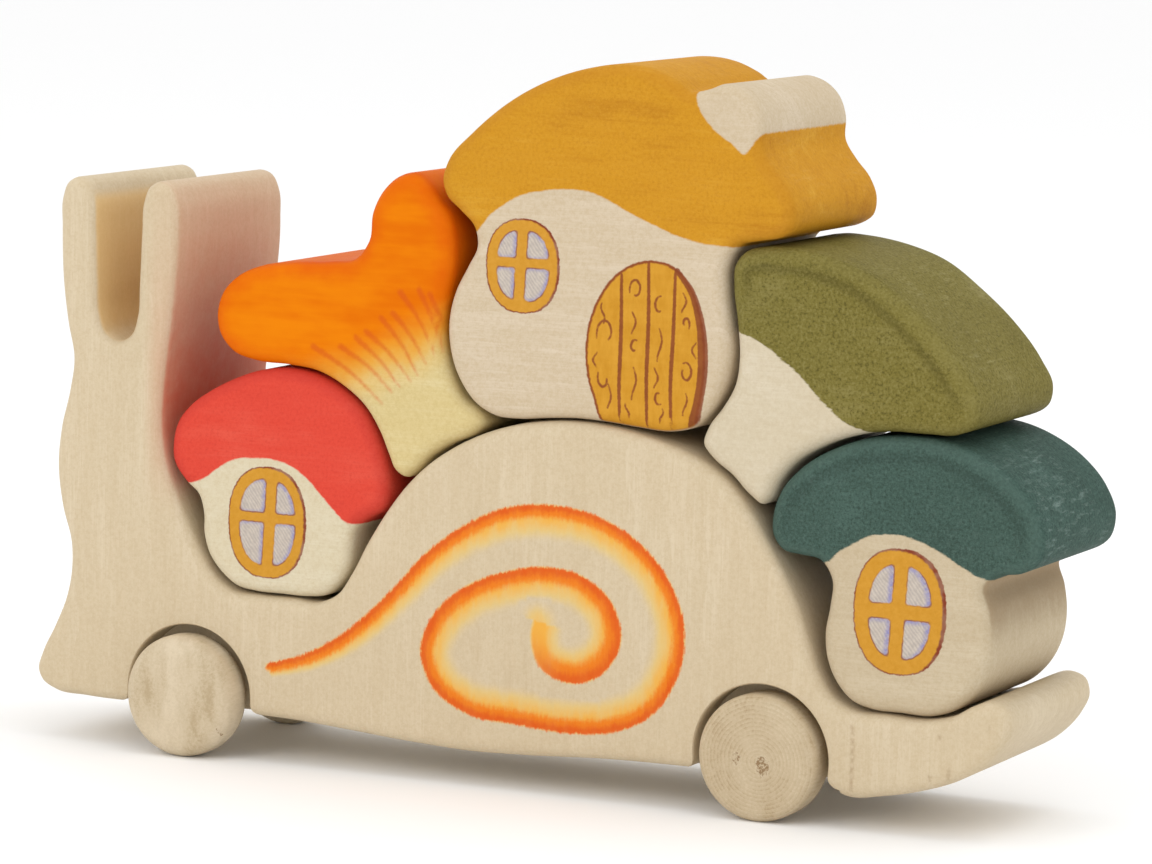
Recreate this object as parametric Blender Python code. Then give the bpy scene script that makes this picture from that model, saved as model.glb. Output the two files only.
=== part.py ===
"""Wooden pull-along snail that carries five loose mushroom pieces.

The snail rolls on two axles, and the mushrooms stand stacked in the hollows of its back. Every
slab is cut from one plank, so its outline lies in the XZ plane and its thickness along Y. The
snail looks towards -X. Outlines are in millimetres, with x from the front axle and z from the floor.
"""

import math

import bmesh
import bpy
import numpy as np
from mathutils import Matrix, Vector

MM = 0.001

# Driving dimensions, in millimetres
WHEEL_DIAMETER = 30.0
WHEEL_THICKNESS = 11.0
WHEEL_EDGE = 3.5
WHEELBASE = 153.5
CENTRE_FROM_FRONT_AXLE = 88.3
PLANK_THICKNESS = 54.0
MUSHROOM_THICKNESS = 52.0
EDGE_ROUNDING = 2.8
POCKET_CLEARANCE = 2.1
POCKET_DEPTH = 8.0
WHEEL_STANDS_PROUD = 5.4
AXLE_END_PLAY = 2.0
AXLE_DIAMETER = 6.0
AXLE_BORE_DIAMETER = 7.2
GLUE_GAP = 0.3
GLUE_HOLE_DEPTH = 7.5

# Mesh fineness
OUTLINE_STEP = 3.0
ROUNDING_SEGMENTS = 2
WHEEL_SIDES = 40
AXLE_SIDES = 24

WHEEL_RADIUS = WHEEL_DIAMETER / 2
POCKET_RADIUS = WHEEL_RADIUS + POCKET_CLEARANCE
WHEEL_CENTRE_Y = PLANK_THICKNESS / 2 + WHEEL_STANDS_PROUD - WHEEL_THICKNESS / 2

# Natural lime wood and the water-based stains, as linear colours
NATURAL = (0.72, 0.59, 0.40)
PALE_WHEEL = (0.66, 0.53, 0.35)
CORAL_RED = (0.76, 0.10, 0.06)
ORANGE = (0.85, 0.22, 0.01)
OCHRE = (0.64, 0.31, 0.03)
OLIVE = (0.17, 0.18, 0.05)
TEAL = (0.05, 0.14, 0.12)

SNAIL_OUTLINE = (
    # chest, from the toe up to the neck
    (-43.0, 13.9), (-44.4, 17.0), (-43.2, 21.2), (-39.6, 28.2), (-36.4, 35.8), (-35.0, 43.0),
    (-35.2, 49.6), (-37.6, 57.8), (-39.0, 68.0), (-38.0, 78.6), (-35.8, 87.4), (-34.7, 95.4),
    # left horn
    (-36.4, 104.0), (-38.0, 116.0), (-38.4, 128.0), (-38.2, 135.0), (-36.6, 138.8), (-33.4, 140.2),
    (-30.6, 139.0), (-28.9, 135.5),
    # slot between the horns
    (-28.3, 128.0), (-27.8, 115.0), (-27.2, 106.5), (-25.4, 102.3), (-21.8, 100.5),
    (-18.4, 102.3), (-16.8, 106.5), (-16.2, 115.0), (-15.7, 128.0),
    # right horn
    (-15.3, 134.8), (-13.6, 138.8), (-10.6, 140.2), (-7.4, 139.2), (-5.4, 135.6), (-4.9, 128.0),
    (-5.8, 114.0), (-7.4, 100.0), (-8.7, 88.0), (-8.9, 79.0),
    # valley where the red house sits
    (-7.8, 72.0), (-5.2, 64.6), (-1.6, 56.8), (2.0, 50.0), (6.2, 44.4), (11.0, 41.4), (18.0, 40.8),
    (28.0, 40.8), (35.0, 40.6), (40.0, 43.0), (44.0, 48.4), (48.4, 56.6), (53.4, 64.6),
    # dome of the shell
    (59.0, 71.6), (65.6, 77.6), (74.0, 82.8), (84.0, 86.8), (94.0, 88.9), (104.0, 89.6),
    (114.0, 88.9), (124.0, 87.0), (133.0, 84.2), (141.0, 79.8), (148.0, 72.8), (153.2, 65.2),
    (158.0, 57.6), (161.8, 50.0), (164.4, 42.4), (167.0, 35.6), (170.8, 30.4), (176.0, 27.9),
    # tail, with the seat of the teal house
    (184.0, 27.6), (195.0, 27.6), (200.6, 29.0), (205.4, 31.8), (210.2, 33.3), (214.0, 31.9),
    (215.2, 28.4), (213.2, 23.4), (208.6, 18.2), (202.6, 14.3), (194.0, 11.0), (184.0, 8.6),
    # underside
    (175.0, 7.6), (171.6, 8.6), (168.0, 10.2), (150.0, 10.3), (130.0, 10.3), (112.0, 9.9),
    (92.0, 8.7), (76.0, 8.2), (60.0, 8.9), (44.0, 10.0), (28.0, 11.0), (10.0, 11.2), (-10.0, 11.2),
    (-30.0, 11.3), (-39.4, 12.0),
)

RED_HOUSE_OUTLINE = (
    # cap
    (-6.6, 72.0), (-6.9, 76.6), (-5.6, 81.6), (-2.0, 86.0), (4.0, 90.2), (10.0, 93.2),
    (17.0, 95.7), (25.0, 96.7), (33.0, 95.6), (40.6, 92.3), (46.4, 87.6), (50.0, 81.4),
    (52.4, 74.8), (53.3, 69.2), (52.0, 64.8), (48.0, 62.2),
    # base
    (44.6, 59.6), (43.6, 54.6), (43.0, 49.8), (40.6, 45.8), (36.6, 42.4), (31.0, 41.4),
    (24.0, 41.4), (17.0, 41.5), (11.6, 42.4), (7.4, 45.2), (3.8, 49.6), (2.2, 54.4), (1.9, 60.0),
    (0.6, 64.0), (-3.0, 67.0),
)

CHANTERELLE_OUTLINE = (
    # long lower lobe
    (5.0, 109.0), (6.4, 114.0), (10.6, 118.4), (17.4, 121.3), (26.0, 122.6), (36.0, 123.3),
    (43.0, 124.6),
    # upper lobe
    (46.4, 129.0), (47.4, 136.0), (50.4, 141.6), (55.0, 145.2), (59.4, 145.8), (62.6, 143.8),
    (65.4, 140.2), (68.6, 136.4), (70.2, 130.6), (70.0, 124.0), (68.6, 117.4), (67.4, 110.4),
    # stem
    (68.1, 103.0), (70.2, 97.0), (73.2, 92.4), (76.6, 90.2), (78.6, 87.6), (76.4, 85.0),
    (69.2, 81.5), (64.0, 78.0), (60.6, 74.4), (57.8, 72.7), (54.6, 74.2), (52.9, 77.6),
    (50.2, 83.4), (46.1, 89.0), (40.4, 93.2), (33.4, 96.4), (25.0, 97.5), (16.0, 97.9),
    (9.4, 99.9), (5.9, 104.0),
)

YELLOW_HOUSE_OUTLINE = (
    # roof, from its left eave over the crest to the chimney
    (66.2, 144.6), (67.6, 149.3), (73.9, 156.3), (84.1, 164.4), (94.4, 169.7), (104.4, 172.8),
    (112.8, 174.0), (120.0, 173.3), (126.4, 170.8), (130.6, 168.4), (134.4, 169.0),
    (139.2, 170.6), (143.8, 169.4), (147.6, 166.0), (149.3, 161.4), (149.4, 155.8),
    # right eave
    (152.2, 151.4), (155.8, 147.2), (157.8, 142.0), (157.0, 138.0), (153.6, 135.8),
    (148.4, 134.7), (143.6, 133.4),
    # wall
    (141.2, 129.0), (141.2, 122.0), (142.2, 114.6), (142.6, 107.4), (141.0, 100.6), (137.6, 94.6),
    (133.6, 90.6), (128.0, 89.0), (119.0, 89.2), (111.0, 89.9), (103.0, 90.2), (95.0, 89.7),
    (88.0, 89.0), (81.4, 89.3), (76.2, 91.8), (71.6, 97.4), (69.0, 104.4), (68.5, 111.4),
    (70.2, 118.6), (73.4, 124.8), (75.6, 129.4), (74.8, 133.8), (71.2, 137.4), (67.4, 140.8),
)

GREEN_MUSHROOM_OUTLINE = (
    # cap
    (142.1, 124.0), (142.4, 129.0), (145.0, 132.2), (150.0, 133.5), (157.0, 133.4),
    (167.0, 131.8), (176.4, 128.6), (185.6, 122.4), (194.2, 114.9), (201.0, 106.8),
    (204.2, 100.6), (203.4, 96.2), (199.0, 93.5), (191.0, 92.9),
    # stem
    (182.0, 92.8), (174.0, 91.4), (165.6, 88.2), (159.0, 84.0), (155.0, 79.0), (153.4, 75.6),
    (150.8, 73.6), (147.4, 75.6), (143.0, 79.8), (138.2, 83.2), (135.4, 86.8), (136.6, 90.8),
    (140.2, 95.8), (143.0, 101.0), (143.9, 107.4), (143.3, 115.0),
)

TEAL_HOUSE_OUTLINE = (
    # cap
    (153.6, 67.0), (153.4, 71.0), (155.4, 77.2), (160.4, 83.0), (168.4, 88.0), (177.6, 91.2),
    (187.0, 92.2), (196.0, 91.8), (204.4, 89.2), (212.0, 84.8), (218.0, 78.6), (220.9, 71.4),
    (219.6, 65.8), (215.0, 62.8), (210.2, 61.9),
    # base
    (207.2, 59.6), (208.6, 54.0), (209.4, 48.0), (208.6, 41.0), (205.4, 34.6), (200.6, 30.2),
    (195.0, 28.1), (187.0, 28.0), (180.0, 28.2), (174.8, 29.8), (170.8, 33.8), (168.2, 39.2),
    (167.5, 45.0), (168.6, 52.0), (168.9, 57.6), (166.0, 61.8), (161.0, 62.6), (156.4, 63.4),
)

AXLES = (("front", 0.0, -AXLE_END_PLAY), ("rear", WHEELBASE, AXLE_END_PLAY))


def clear_scene():
    for thing in list(bpy.data.objects):
        bpy.data.objects.remove(thing, do_unlink=True)


def point(x, y, z):
    """A place in metres, from an outline's millimetres."""
    return Vector(((x - CENTRE_FROM_FRONT_AXLE) * MM, y * MM, z * MM))


def stain(name, colour, roughness):
    """One Principled material for one node."""
    material = bpy.data.materials.new(name)
    material.use_nodes = True
    shader = material.node_tree.nodes["Principled BSDF"]
    shader.inputs["Base Color"].default_value = (*colour, 1.0)
    shader.inputs["Roughness"].default_value = roughness
    shader.inputs["Metallic"].default_value = 0.0
    material.diffuse_color = (*colour, 1.0)
    return material


def direction(before, here, after):
    """The curve's unit direction at a point, weighted towards its nearer neighbour."""
    behind = np.linalg.norm(here - before)
    ahead = np.linalg.norm(after - here)
    slope = (here - before) / behind * ahead + (after - here) / ahead * behind
    return slope / (behind + ahead)


def smooth_outline(points):
    """The closed smooth curve through the points, as (x, z) about OUTLINE_STEP apart."""
    spots = [np.array(spot, float) for spot in points]
    total = len(spots)
    curve = []
    for i in range(total):
        before, start = spots[i - 1], spots[i]
        end, after = spots[(i + 1) % total], spots[(i + 2) % total]
        chord = np.linalg.norm(end - start)
        leaving = direction(before, start, end) * chord
        arriving = direction(start, end, after) * chord
        steps = max(2, round(chord / OUTLINE_STEP))
        for t in np.arange(steps) / steps:
            curve.append(
                (2 * t**3 - 3 * t**2 + 1) * start
                + (t**3 - 2 * t**2 + t) * leaving
                + (3 * t**2 - 2 * t**3) * end
                + (t**3 - t**2) * arriving
            )
    return curve


def finish_mesh(bm, name, material, centre):
    """Turns a bmesh built about centre into a smooth-shaded object that has its origin there."""
    bmesh.ops.recalc_face_normals(bm, faces=bm.faces)
    mesh = bpy.data.meshes.new(name)
    bm.to_mesh(mesh)
    bm.free()
    mesh.shade_smooth()
    mesh.set_sharp_from_angle(angle=math.radians(40))
    mesh.materials.append(material)
    thing = bpy.data.objects.new(name, mesh)
    thing.location = centre
    bpy.context.scene.collection.objects.link(thing)
    return thing


def slab(name, outline, thickness, material):
    """A piece sawn from the plank along its outline, with both rims rounded over."""
    curve = smooth_outline(outline)
    middle = (np.min(curve, axis=0) + np.max(curve, axis=0)) / 2
    centre = point(middle[0], 0.0, middle[1])
    bm = bmesh.new()
    rim = [bm.verts.new(point(x, -thickness / 2, z) - centre) for x, z in curve]
    face = bm.faces.new(rim)
    grown = bmesh.ops.extrude_face_region(bm, geom=[face])["geom"]
    far_verts = [part for part in grown if isinstance(part, bmesh.types.BMVert)]
    bmesh.ops.translate(bm, verts=far_verts, vec=(0.0, thickness * MM, 0.0))
    rims = [edge for edge in bm.edges if max(len(side.verts) for side in edge.link_faces) > 4]
    bmesh.ops.bevel(
        bm,
        geom=rims,
        offset=EDGE_ROUNDING * MM,
        offset_type="OFFSET",
        segments=ROUNDING_SEGMENTS,
        profile=0.5,
        affect="EDGES",
        clamp_overlap=False,
        loop_slide=False,
    )
    return finish_mesh(bm, name, material, centre)


def cylinder(name, diameter, length, sides, centre, material, edge=0.0):
    """A turned piece that lies along Y, with its two rims rounded by edge."""
    bm = bmesh.new()
    bmesh.ops.create_cone(
        bm,
        cap_ends=True,
        segments=sides,
        radius1=diameter / 2 * MM,
        radius2=diameter / 2 * MM,
        depth=length * MM,
        matrix=Matrix.Rotation(math.pi / 2, 4, "X"),
    )
    if edge:
        rims = [e for e in bm.edges if max(len(side.verts) for side in e.link_faces) > 4]
        bmesh.ops.bevel(
            bm,
            geom=rims,
            offset=edge * MM,
            offset_type="OFFSET",
            segments=ROUNDING_SEGMENTS,
            profile=0.5,
            affect="EDGES",
        )
    return finish_mesh(bm, name, material, centre)


def cut(thing, cutter):
    """Takes the cutter's shape out of thing, and leaves the cutter as a hidden guide."""
    cutter.hide_render = True
    cutter.display_type = "WIRE"
    modifier = thing.modifiers.new(cutter.name, "BOOLEAN")
    modifier.operation = "DIFFERENCE"
    modifier.solver = "EXACT"
    modifier.object = cutter


def snail_body():
    """The carrying slab, with a blind pocket beside each wheel and a bore for each axle."""
    wood = stain("snail_lime_wood", NATURAL, 0.62)
    body = slab("snail_body", SNAIL_OUTLINE, PLANK_THICKNESS, wood)
    pocket_length = 2 * POCKET_DEPTH
    for axle, x, _ in AXLES:
        bore = cylinder(
            f"{axle}_bore_cutter",
            AXLE_BORE_DIAMETER,
            PLANK_THICKNESS + 2 * EDGE_ROUNDING,
            AXLE_SIDES,
            point(x, 0.0, WHEEL_RADIUS),
            wood,
        )
        cut(body, bore)
        for side, sign in (("near", -1), ("far", 1)):
            pocket = cylinder(
                f"{axle}_{side}_pocket_cutter",
                2 * POCKET_RADIUS,
                pocket_length,
                WHEEL_SIDES,
                point(x, sign * PLANK_THICKNESS / 2, WHEEL_RADIUS),
                wood,
            )
            cut(body, pocket)


def wheels_and_axle(axle, x, shift):
    """One axle dowel and the two wheels glued on its ends, all turning about the dowel."""
    wheel_wood = stain(f"{axle}_wheel_wood", PALE_WHEEL, 0.55)
    dowel_wood = stain(f"{axle}_dowel_wood", NATURAL, 0.6)
    inner_face = WHEEL_CENTRE_Y - WHEEL_THICKNESS / 2
    dowel_length = 2 * (inner_face + GLUE_HOLE_DEPTH - GLUE_GAP)
    hub = point(x, shift, WHEEL_RADIUS)
    cylinder(f"{axle}_axle", AXLE_DIAMETER, dowel_length, AXLE_SIDES, hub, dowel_wood)
    for side, sign in (("near", -1), ("far", 1)):
        wheel = cylinder(
            f"{axle}_{side}_wheel",
            WHEEL_DIAMETER,
            WHEEL_THICKNESS,
            WHEEL_SIDES,
            point(x, sign * WHEEL_CENTRE_Y + shift, WHEEL_RADIUS),
            wheel_wood,
            WHEEL_EDGE,
        )
        glue_hole = cylinder(
            f"{axle}_{side}_glue_hole_cutter",
            AXLE_DIAMETER + 2 * GLUE_GAP,
            2 * GLUE_HOLE_DEPTH,
            AXLE_SIDES,
            point(x, sign * inner_face + shift, WHEEL_RADIUS),
            wheel_wood,
        )
        cut(wheel, glue_hole)


def mushrooms():
    """The five loose pieces, each free to be lifted off."""
    pieces = (
        ("red_mushroom_house", RED_HOUSE_OUTLINE, CORAL_RED),
        ("orange_chanterelle", CHANTERELLE_OUTLINE, ORANGE),
        ("yellow_mushroom_house", YELLOW_HOUSE_OUTLINE, OCHRE),
        ("green_mushroom", GREEN_MUSHROOM_OUTLINE, OLIVE),
        ("teal_mushroom_house", TEAL_HOUSE_OUTLINE, TEAL),
    )
    for name, outline, colour in pieces:
        slab(name, outline, MUSHROOM_THICKNESS, stain(f"{name}_stain", colour, 0.6))


def build():
    clear_scene()
    snail_body()
    for axle, x, shift in AXLES:
        wheels_and_axle(axle, x, shift)
    mushrooms()


build()
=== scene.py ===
"""The looks of the pull along snail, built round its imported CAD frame."""

import math
from functools import reduce

import bmesh
import bpy
import numpy as np
from mathutils import Matrix, Vector, noise
from mathutils.geometry import delaunay_2d_cdt


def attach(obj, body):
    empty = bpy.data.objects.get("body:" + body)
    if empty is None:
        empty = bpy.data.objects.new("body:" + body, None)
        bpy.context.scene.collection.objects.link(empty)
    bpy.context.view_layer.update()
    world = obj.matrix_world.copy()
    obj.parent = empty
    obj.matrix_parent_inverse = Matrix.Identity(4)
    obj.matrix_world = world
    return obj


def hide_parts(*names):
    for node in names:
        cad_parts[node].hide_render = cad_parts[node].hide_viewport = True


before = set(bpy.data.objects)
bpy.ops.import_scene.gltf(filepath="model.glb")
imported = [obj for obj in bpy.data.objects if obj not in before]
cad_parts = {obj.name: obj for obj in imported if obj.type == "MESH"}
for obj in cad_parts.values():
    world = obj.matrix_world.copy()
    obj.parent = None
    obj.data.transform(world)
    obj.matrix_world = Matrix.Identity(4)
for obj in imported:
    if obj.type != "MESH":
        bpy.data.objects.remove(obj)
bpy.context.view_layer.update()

# Outlines are in millimetres: x from the front axle towards the tail, z up from the floor.
MM = 0.001
CENTRE_FROM_FRONT_AXLE = 88.3
WHEELBASE = 153.5
PLANK_HALF = 27.0
MUSHROOM_HALF = 26.0
WHEEL_RADIUS = 15.0
WHEEL_THICKNESS = 11.0
WHEEL_PROUD = 5.4
AXLE_END_PLAY = 2.0
POCKET_RADIUS = 17.1
POCKET_DEPTH = 8.0
BORE_RADIUS = 3.6
AXLE_RADIUS = 3.0
GLUE_HOLE_DEPTH = 7.5
GLUE_GAP = 0.3
SNAIL_RIM = 3.0
CHANTERELLE_RIM = 3.6
POCKET_FLARE = 0.7
POCKET_FILLET = 3.0
BORE_REACH = 40.0
BACK_EDGE = 2.2
BUMP_DEPTH = 0.15
RING_GAP = 4.2
# Each axle's x, and the height of the snail's underside left and right of its wheel
AXLES = ((0.0, 11.3, 11.2), (WHEELBASE, 10.3, 9.2))

# Mesh fineness, in millimetres
OUTLINE_STEP = 0.9
FACE_STEP = 1.3
STROKE_STEP = 0.62
WINDOW_STEP = 0.45
DOOR_STEP = 0.36
GILL_STEP = 0.6
# Degrees round a rim where its rings of points lie, and rows up an edge
RIM_TURNS = (18.0, 36.0, 54.0, 72.0, 90.0)
WALL_ROWS = 8
SHARP_ANGLE = math.radians(38)
WHEEL_SIDES = 112
DOWEL_SIDES = 48
BORE_SIDES = 40
# Shares of a step between lattice rows and from a rim, and of an inset that a ring keeps
ROW_GAP = 0.866
LATTICE_MARGIN = 0.45
KEPT_INSET = 0.96
# Distances worked out at once, to spare memory
MOST_PAIRS = 1500000

# Hand sanding: how much a rim's radius changes, how far a face sinks, and over what lengths
RIM_CHANGE = 0.16
RIM_WAVE = 21
FACE_SINK = 0.12
FACE_WAVE = 34

SNAIL_OUTLINE = (
    # chest, from the toe up to the neck
    (-43, 13.9), (-44.4, 17), (-43.2, 21.2), (-39.6, 28.2), (-36.4, 35.8), (-35, 43),
    (-35.2, 49.6), (-37.6, 57.8), (-39, 68), (-38, 78.6), (-35.8, 87.4), (-34.7, 95.4),
    # left horn
    (-36.4, 104), (-38, 116), (-38.4, 128), (-38.2, 135), (-36.6, 138.8), (-33.4, 140.2),
    (-30.6, 139), (-28.9, 135.5),
    # slot between the horns
    (-28.3, 128), (-27.8, 115), (-27.2, 106.5), (-25.4, 102.3), (-21.8, 100.5),
    (-18.4, 102.3), (-16.8, 106.5), (-16.2, 115), (-15.7, 128),
    # right horn
    (-15.3, 134.8), (-13.6, 138.8), (-10.6, 140.2), (-7.4, 139.2), (-5.4, 135.6), (-4.9, 128),
    (-5.8, 114), (-7.4, 100), (-8.7, 88), (-8.9, 79),
    # valley where the red house sits
    (-7.8, 72), (-5.2, 64.6), (-1.6, 56.8), (2, 50), (6.2, 44.4), (11, 41.4), (18, 40.8),
    (28, 40.8), (35, 40.6), (40, 43), (44, 48.4), (48.4, 56.6), (53.4, 64.6),
    # dome of the shell
    (59, 71.6), (65.6, 77.6), (74, 82.8), (84, 86.8), (94, 88.9), (104, 89.6),
    (114, 88.9), (124, 87), (133, 84.2), (141, 79.8), (148, 72.8), (153.2, 65.2),
    (158, 57.6), (161.8, 50), (164.4, 42.4), (167, 35.6), (170.8, 30.4), (176, 27.9),
    # tail, with the seat of the teal house
    (184, 27.6), (195, 27.6), (200.6, 29), (205.4, 31.8), (210.2, 33.3), (214, 31.9),
    (215.2, 28.4), (213.2, 23.4), (208.6, 18.2), (202.6, 14.3), (194, 11), (184, 8.6),
    # underside
    (175, 7.6), (171.6, 8.6), (168, 10.2), (150, 10.3), (130, 10.3), (112, 9.9),
    (92, 8.7), (76, 8.2), (60, 8.9), (44, 10), (28, 11), (10, 11.2), (-10, 11.2),
    (-30, 11.3), (-39.4, 12),
)

RED_HOUSE_OUTLINE = (
    # cap
    (-6.6, 72), (-6.9, 76.6), (-5.6, 81.6), (-2, 86), (4, 90.2), (10, 93.2),
    (17, 95.7), (25, 96.7), (33, 95.6), (40.6, 92.3), (46.4, 87.6), (50, 81.4),
    (52.4, 74.8), (53.3, 69.2), (52, 64.8), (48, 62.2),
    # base
    (44.6, 59.6), (43.6, 54.6), (43, 49.8), (40.6, 45.8), (36.6, 42.4), (31, 41.4),
    (24, 41.4), (17, 41.5), (11.6, 42.4), (7.4, 45.2), (3.8, 49.6), (2.2, 54.4), (1.9, 60),
    (0.6, 64), (-3, 67),
)

CHANTERELLE_OUTLINE = (
    # long lower lobe
    (5, 109), (6.4, 114), (10.6, 118.4), (17.4, 121.3), (26, 122.6), (36, 123.3),
    (43, 124.6),
    # upper lobe
    (46.4, 129), (47.4, 136), (50.4, 141.6), (55, 145.2), (59.4, 145.8), (62.6, 143.8),
    (65.4, 140.2), (68.6, 136.4), (70.2, 130.6), (70, 124), (68.6, 117.4), (67.4, 110.4),
    # stem
    (68.1, 103), (70.2, 97), (73.2, 92.4), (76.6, 90.2), (78.6, 87.6), (76.4, 85),
    (69.2, 81.5), (64, 78), (60.6, 74.4), (57.8, 72.7), (54.6, 74.2), (52.9, 77.6),
    (50.2, 83.4), (46.1, 89), (40.4, 93.2), (33.4, 96.4), (25, 97.5), (16, 97.9),
    (9.4, 99.9), (5.9, 104),
)

YELLOW_HOUSE_OUTLINE = (
    # roof, from its left eave over the crest to the chimney
    (66.2, 144.6), (67.6, 149.3), (73.9, 156.3), (84.1, 164.4), (94.4, 169.7), (104.4, 172.8),
    (112.8, 174), (120, 173.3), (126.4, 170.8), (130.6, 168.4), (134.4, 169),
    (139.2, 170.6), (143.8, 169.4), (147.6, 166), (149.3, 161.4), (149.4, 155.8),
    # right eave
    (152.2, 151.4), (155.8, 147.2), (157.8, 142), (157, 138), (153.6, 135.8),
    (148.4, 134.7), (143.6, 133.4),
    # wall
    (141.2, 129), (141.2, 122), (142.2, 114.6), (142.6, 107.4), (141, 100.6), (137.6, 94.6),
    (133.6, 90.6), (128, 89), (119, 89.2), (111, 89.9), (103, 90.2), (95, 89.7),
    (88, 89), (81.4, 89.3), (76.2, 91.8), (71.6, 97.4), (69, 104.4), (68.5, 111.4),
    (70.2, 118.6), (73.4, 124.8), (75.6, 129.4), (74.8, 133.8), (71.2, 137.4), (67.4, 140.8),
)

GREEN_MUSHROOM_OUTLINE = (
    # cap
    (142.1, 124), (142.4, 129), (145, 132.2), (150, 133.5), (157, 133.4),
    (167, 131.8), (176.4, 128.6), (185.6, 122.4), (194.2, 114.9), (201, 106.8),
    (204.2, 100.6), (203.4, 96.2), (199, 93.5), (191, 92.9),
    # stem
    (182, 92.8), (174, 91.4), (165.6, 88.2), (159, 84), (155, 79), (153.4, 75.6),
    (150.8, 73.6), (147.4, 75.6), (143, 79.8), (138.2, 83.2), (135.4, 86.8), (136.6, 90.8),
    (140.2, 95.8), (143, 101), (143.9, 107.4), (143.3, 115),
)

TEAL_HOUSE_OUTLINE = (
    # cap
    (153.6, 67), (153.4, 71), (155.4, 77.2), (160.4, 83), (168.4, 88), (177.6, 91.2),
    (187, 92.2), (196, 91.8), (204.4, 89.2), (212, 84.8), (218, 78.6), (220.9, 71.4),
    (219.6, 65.8), (215, 62.8), (210.2, 61.9),
    # base
    (207.2, 59.6), (208.6, 54), (209.4, 48), (208.6, 41), (205.4, 34.6), (200.6, 30.2),
    (195, 28.1), (187, 28), (180, 28.2), (174.8, 29.8), (170.8, 33.8), (168.2, 39.2),
    (167.5, 45), (168.6, 52), (168.9, 57.6), (166, 61.8), (161, 62.6), (156.4, 63.4),
)

# ---- painted lines, same millimetres
SPIRAL = (
    (22.5, 23.8), (32, 26.7), (42, 32), (50, 38.5), (58, 46.3), (66, 54.8), (75, 61.5), (86, 66.8),
    (98, 68.5), (110, 66.8), (121, 61.3), (128.5, 53), (132.2, 43), (130.8, 32.5), (124.5, 23),
    (115, 18.3), (104, 17), (90, 17.7), (77, 19), (68.5, 24), (65.3, 32), (68.5, 40), (76, 46.8),
    (86, 51.2), (96, 53.3), (106, 52), (113, 47), (115.3, 39), (111, 32), (104, 29.5), (97, 32.2),
    (94.8, 38.5), (95.3, 41.5),
)
# Half widths of the stroke, and how far its glow reaches inwards, at shares of its length
SPIRAL_WIDTHS = (
    (0, 1), (0.05, 1.2), (0.3, 1.3), (0.6, 1.5), (0.8, 1.5), (0.88, 1.75), (0.93, 2.05),
    (0.97, 1.9), (1, 1.5),
)
GLOW_REACH = ((0, 2.5), (0.08, 5), (0.25, 8), (0.85, 8), (1, 7))
# The finer mesh by the stroke: its box, and how near the stroke
SPIRAL_BOX = ((14, 10), (140, 76))
SPIRAL_ZONE = 4.2
# Strength of the painted reddish bounce light and shade on the right horn's side, at heights
RED_BOUNCE_STRENGTH = ((80, 0.95), (96, 0.76), (112, 0.45), (128, 0.24), (150, 0.03))

# Where each cap's stain ends, from left to right

RED_EDGE = (
    (-14, 67), (-1.5, 67), (4, 69), (8, 72), (12, 74), (18, 74.8), (24, 74.6), (28, 73.5), (32, 71),
    (36, 67.3), (40, 63.5), (43, 61), (47, 60.6), (62, 60.6),
)
YELLOW_EDGE = (
    (60, 134), (78, 134.3), (80, 137), (84, 140), (88, 142.3), (94, 143.8), (100, 144.5),
    (104, 144.5), (108, 143.8), (112, 142.3), (116, 140.3), (120, 138.7), (125, 136.7),
    (130, 135), (135, 134), (144, 133.2), (170, 131),
)
GREEN_EDGE = (
    (130, 114.5), (145.5, 113.7), (149, 112.8), (152, 111.3), (156, 108.6), (160, 105.8),
    (163, 103), (166, 100), (169, 97.5), (173, 94.8), (177, 93), (184, 92.2), (215, 90),
)
TEAL_EDGE = (
    (140, 60.5), (162, 61.2), (169.5, 62.5), (171.5, 64.5), (175, 66.8), (180, 69.3), (185, 70),
    (190, 69.5), (195, 67.8), (200, 65.3), (205, 62.6), (210, 60.6), (230, 60.4),
)
# The bare chimney of the yellow house
CHIMNEY = (
    (131.6, 176), (132.2, 168.6), (134.2, 163.6), (138, 159.6), (142, 157), (145.6, 154.6),
    (147.4, 157.2), (149.4, 159.6), (153, 160.6), (154, 176),
)
# Where the chanterelle's orange fades into its stem, and its gills
STEM_FADE = ((0, 92), (20, 94.5), (32, 98), (42, 101.5), (50, 105), (60, 109.4), (75, 117))
GILLS = (
    ((33.5, 103), (43.5, 97.6), (52.5, 90.5)), ((41, 103.5), (48.5, 99.2), (55, 93.5)),
    ((45, 106), (51.5, 101), (57, 95)), ((48, 107.5), (54.4, 102.6), (60, 96.5)),
    ((52, 111), (57.4, 105.2), (62, 98)), ((55, 112.5), (60, 107.2), (64, 101)),
    ((57, 117.5), (62.4, 110.8), (66.5, 103)), ((62, 118.5), (65.6, 111.6), (68, 104)),
    ((65, 117.5), (67, 113), (68.4, 108)),
)
GILL_BOX = ((31, 88), (70, 120.5))
# Windows: the oval's centre and half sizes, where the bars cross and their half widths, how far
# the shaded edges are shifted, and the ring's width
WINDOWS = {
    "red": ((21.4, 59.2), (10.6, 13.5), (22.1, 60.4), (1.6, 1.25), (0.45, 0.15), 2.9),
    "yellow": ((89.4, 125.8), (9.5, 11), (88.9, 126.5), (1.5, 1.2), (0.4, 0.1), 2.6),
    "teal": ((187.5, 52.2), (11.3, 14.5), (187.1, 52.2), (1.75, 1.8), (0.75, 0.35), 3.6),
}
OVAL_POWER = 0.86
BAR_LEAN = 0.05
DOOR_BOX = ((105, 88), (138, 130))
DOOR = (
    (111.2, 88.6), (109, 95), (107, 101), (106.4, 107), (107, 113), (109.2, 119), (112.6, 124),
    (117.4, 127.6), (123, 129), (128.6, 127.8), (132.8, 123.6), (135.4, 117.6), (136.8, 110.6),
    (136.9, 103.6), (136, 96.6), (134.4, 90.4), (133.8, 87.6),
)
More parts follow.
